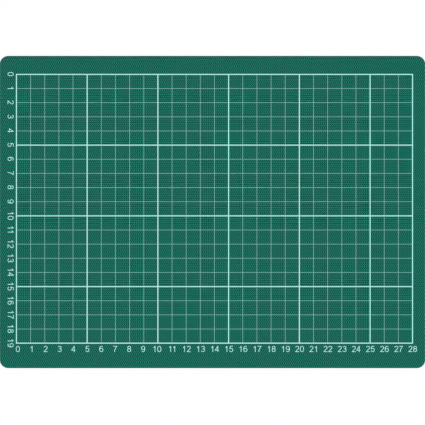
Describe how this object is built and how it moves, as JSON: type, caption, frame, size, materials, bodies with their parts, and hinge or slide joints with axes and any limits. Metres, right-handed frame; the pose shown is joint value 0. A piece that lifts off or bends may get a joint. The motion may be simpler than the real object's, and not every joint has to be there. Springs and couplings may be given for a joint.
{
  "type": "cutting mat",
  "caption": "Flat self-healing craft cutting mat with rounded corners: soft skins and cushions bonded to a hard core, under a printed centimetre grid.",
  "frame": {"origin": "middle of the underside", "axes": "+X along the long edge, +Y up the face towards the grid's zero row, +Z out of the cutting face"},
  "size_m": [0.301, 0.2208, 0.003],
  "materials": {
    "green_skin": "matt green PVC with a fine embossed grain",
    "green_cushion": "soft green PVC, seen only at the cut edge",
    "hard_core": "hard off-white sheet, seen only at the cut edge",
    "mint_ink": "mint-white screen-printed ink"
  },
  "bodies": {
    "root": {"base_ply": "green_skin", "lower_cushion_ply": "green_cushion", "core_ply": "hard_core", "upper_cushion_ply": "green_cushion", "cutting_ply": "green_skin", "printed_grid": "mint_ink"}
  },
  "joints": []
}
